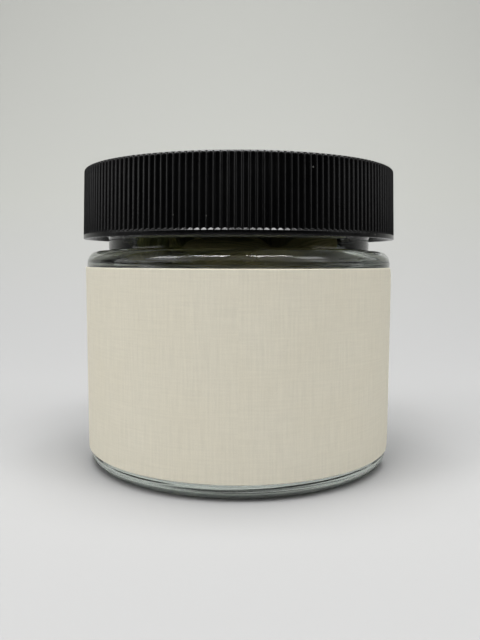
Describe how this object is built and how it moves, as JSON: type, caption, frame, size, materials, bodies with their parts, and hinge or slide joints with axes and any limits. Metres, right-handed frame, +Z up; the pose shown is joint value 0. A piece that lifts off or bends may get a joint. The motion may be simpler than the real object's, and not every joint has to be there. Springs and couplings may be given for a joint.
{
  "type": "jar of green cardamom pods",
  "caption": "Small straight-sided glass spice jar filled with green cardamom pods, with a bare paper label and a ribbed screw lid that unscrews.",
  "frame": {"origin": "centre of the jar's base, on the plane that the jar stands on", "axes": "+Z up along the jar's axis, through the lid; -Y towards the front, which the label faces; +X to the right when the label is seen from the front"},
  "size_m": [0.0556, 0.0556, 0.0512],
  "materials": {
    "jar_glass": "clear pressed glass with a faint green tint, thick in the base and shoulder",
    "lid_plastic": "black moulded polypropylene, satin, with fine upright ribs",
    "liner_foam": "off-white foamed liner disc",
    "label_paper": "cream laid paper with a fine upright texture, matt",
    "pod_husk": "dry papery husk, pale green to straw, ribbed lengthwise"
  },
  "bodies": {
    "jar": {"jar": "jar_glass", "label": "label_paper", "pod_01": "pod_husk", "pod_02": "pod_husk", "pod_03": "pod_husk", "pod_04": "pod_husk", "pod_05": "pod_husk", "pod_06": "pod_husk", "pod_07": "pod_husk", "pod_08": "pod_husk", "pod_09": "pod_husk", "pod_10": "pod_husk", "pod_11": "pod_husk", "pod_12": "pod_husk", "pod_13": "pod_husk", "pod_14": "pod_husk", "pod_15": "pod_husk", "pod_16": "pod_husk", "pod_17": "pod_husk", "pod_18": "pod_husk", "pod_19": "pod_husk", "pod_20": "pod_husk", "pod_21": "pod_husk", "pod_22": "pod_husk", "pod_23": "pod_husk", "pod_24": "pod_husk", "pod_25": "pod_husk", "pod_26": "pod_husk", "pod_27": "pod_husk", "pod_28": "pod_husk", "pod_29": "pod_husk", "pod_30": "pod_husk", "pod_31": "pod_husk", "pod_32": "pod_husk", "pod_33": "pod_husk", "pod_34": "pod_husk", "pod_35": "pod_husk", "pod_36": "pod_husk", "pod_37": "pod_husk", "pod_38": "pod_husk", "pod_39": "pod_husk", "pod_40": "pod_husk", "pod_41": "pod_husk", "pod_42": "pod_husk", "pod_43": "pod_husk", "pod_44": "pod_husk", "pod_45": "pod_husk", "pod_46": "pod_husk", "pod_47": "pod_husk", "pod_48": "pod_husk", "pod_49": "pod_husk", "pod_50": "pod_husk", "pod_51": "pod_husk", "pod_52": "pod_husk", "pod_53": "pod_husk", "pod_54": "pod_husk", "pod_55": "pod_husk"},
    "liner": {"liner": "liner_foam"},
    "lid": {"lid": "lid_plastic"}
  },
  "joints": [
    {"name": "lid_lift", "type": "slide", "parent": "jar", "child": "liner", "axis": [0, 0, 1], "range_m": [0, 0.00425]},
    {"name": "lid_turn", "type": "hinge", "parent": "liner", "child": "lid", "pos_m": [0, 0, 0.045], "axis": [0, 0, 1], "range_deg": [0, 360]}
  ],
  "couplings": [
    {"joint": "lid_lift", "follows": "lid_turn", "m_per_rad": 0.00067375}
  ]
}
